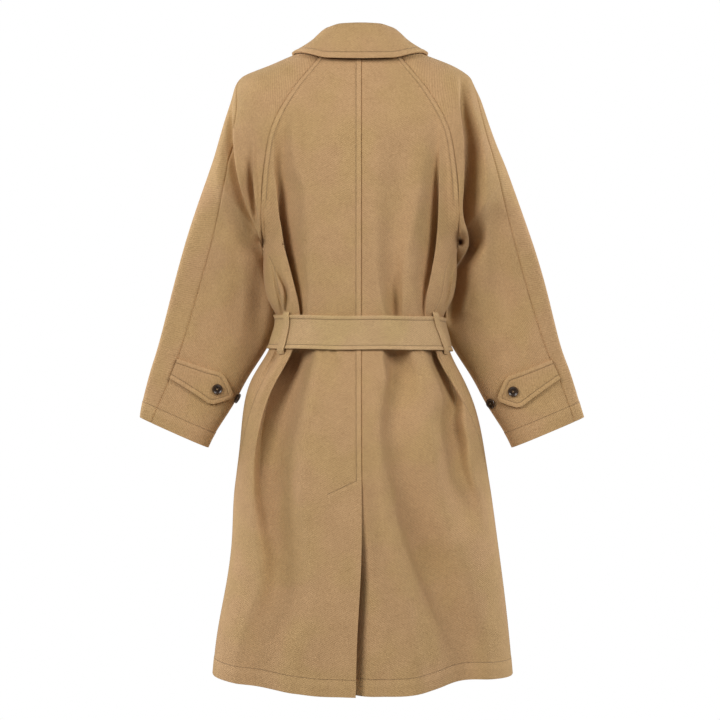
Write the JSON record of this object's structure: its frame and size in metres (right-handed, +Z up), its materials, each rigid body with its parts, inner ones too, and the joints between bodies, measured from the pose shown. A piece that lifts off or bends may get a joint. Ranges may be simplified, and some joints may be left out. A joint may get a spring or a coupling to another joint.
{
  "type": "balmacaan coat",
  "caption": "Knee-length belted wool coat with raglan sleeves, turn-down collar, cuff tabs and a back vent, filled out and hollow as if worn.",
  "frame": {"origin": "middle of the neck opening at the height of the back neck seam, where the wearer's neck and shoulders hold the coat", "axes": "+Z up along the coat's length, -Y the way the wearer faces, +X the wearer's left"},
  "size_m": [0.7732, 0.3412, 1.125],
  "materials": {
    "wool": "soft napped camel wool twill",
    "button_horn": "polished dark brown horn look"
  },
  "bodies": {
    "root": {"back_left": "wool", "back_right": "wool", "front_left": "wool", "front_right": "wool", "sleeve_back_left": "wool", "sleeve_back_right": "wool", "sleeve_front_left": "wool", "sleeve_front_right": "wool", "collar": "wool", "belt": "wool", "belt_knot": "wool", "belt_end_left": "wool", "belt_end_right": "wool", "belt_loop_left": "wool", "belt_loop_right": "wool", "sleeve_tab_left": "wool", "sleeve_tab_right": "wool", "button_left_tab": "button_horn", "button_left_spare": "button_horn", "button_right_tab": "button_horn", "button_right_spare": "button_horn"}
  },
  "joints": []
}
